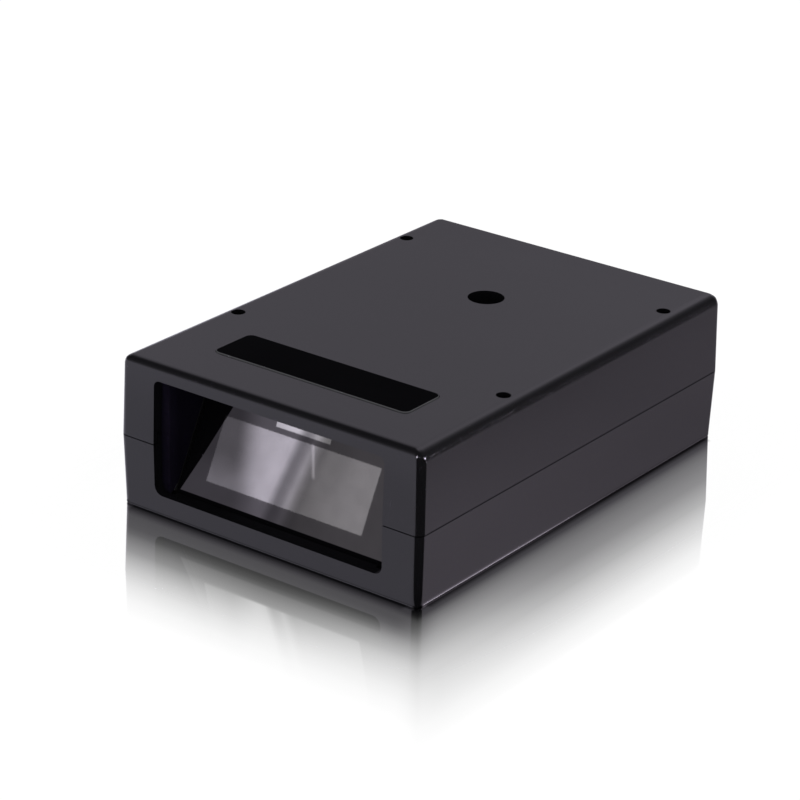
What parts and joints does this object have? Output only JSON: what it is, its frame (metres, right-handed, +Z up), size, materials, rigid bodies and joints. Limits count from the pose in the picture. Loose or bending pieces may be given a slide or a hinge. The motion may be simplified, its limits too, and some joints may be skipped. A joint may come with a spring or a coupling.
{
  "type": "fixed barcode reader",
  "caption": "Compact fixed-mount code reader: a low two-part moulded box with a flared window recess, a tilted pane, fastening holes in its top and a modular cable socket behind.",
  "frame": {"origin": "middle of the flat underside, at the height of the surface that the reader stands on", "axes": "+X to the right seen from behind the reader, across its width; -Y out of the window, +Y towards the cable socket; +Z up, out of the top face with the fastening holes"},
  "size_m": [0.05, 0.071, 0.0221],
  "materials": {
    "case_plastic": "smooth satin, black",
    "hood_plastic": "light-absorbing matt black",
    "pane_glass": "clear, with a printed dark border",
    "adhesive_tape": "matt foam tape",
    "label_gloss": "glossy black, bare",
    "insert_brass": "turned",
    "screw_steel": "zinc plated",
    "engine_zinc": "black coated die casting",
    "barrel_black": "black anodised",
    "lens_glass": "coated",
    "board_green": "solder mask over glass fibre",
    "sensor_ceramic": "smooth",
    "led_resin": "clear resin over phosphor",
    "guide_acrylic": "frosted acrylic",
    "chip_epoxy": "moulded epoxy",
    "can_metal": "satin",
    "ferrite": "matt",
    "beeper_plastic": "matt black",
    "connector_ivory": "moulded nylon",
    "flex_amber": "polyimide film",
    "socket_plastic": "moulded, black",
    "contact_gold": "gold plated"
  },
  "bodies": {
    "root": {"upper_shell": "case_plastic", "lower_shell": "case_plastic", "window_hood": "hood_plastic", "window_pane": "pane_glass", "window_tape": "adhesive_tape", "label_plate": "label_gloss", "threaded_insert_front_left": "insert_brass", "threaded_insert_front_right": "insert_brass", "threaded_insert_rear_left": "insert_brass", "threaded_insert_rear_right": "insert_brass", "case_screw_front_left": "screw_steel", "case_screw_front_right": "screw_steel", "case_screw_rear_left": "screw_steel", "case_screw_rear_right": "screw_steel", "scan_engine_body": "engine_zinc", "engine_screw_left": "screw_steel", "engine_screw_right": "screw_steel", "lens_barrel": "barrel_black", "objective_lens": "lens_glass", "illumination_board": "board_green", "illumination_board_screw_left": "screw_steel", "illumination_board_screw_right": "screw_steel", "illumination_led_outer_left": "led_resin", "illumination_led_inner_left": "led_resin", "illumination_led_inner_right": "led_resin", "illumination_led_outer_right": "led_resin", "indicator_led": "led_resin", "light_guide": "guide_acrylic", "sensor_board": "board_green", "sensor_board_screw_left": "screw_steel", "sensor_board_screw_right": "screw_steel", "image_sensor": "sensor_ceramic", "main_board": "board_green", "main_board_screw_front_left": "screw_steel", "main_board_screw_front_right": "screw_steel", "main_board_screw_rear_left": "screw_steel", "main_board_screw_rear_right": "screw_steel", "beeper": "beeper_plastic", "processor": "chip_epoxy", "memory_chip": "chip_epoxy", "interface_chip": "chip_epoxy", "voltage_regulator": "chip_epoxy", "clock_crystal": "can_metal", "power_capacitor": "can_metal", "power_inductor": "ferrite", "engine_flex_connector": "connector_ivory", "board_flex_connector": "connector_ivory", "engine_flex": "flex_amber", "illumination_flex": "flex_amber", "cable_socket_body": "socket_plastic", "socket_contact_1": "contact_gold", "socket_contact_2": "contact_gold", "socket_contact_3": "contact_gold", "socket_contact_4": "contact_gold", "socket_contact_5": "contact_gold", "socket_contact_6": "contact_gold", "socket_contact_7": "contact_gold", "socket_contact_8": "contact_gold"}
  },
  "joints": []
}
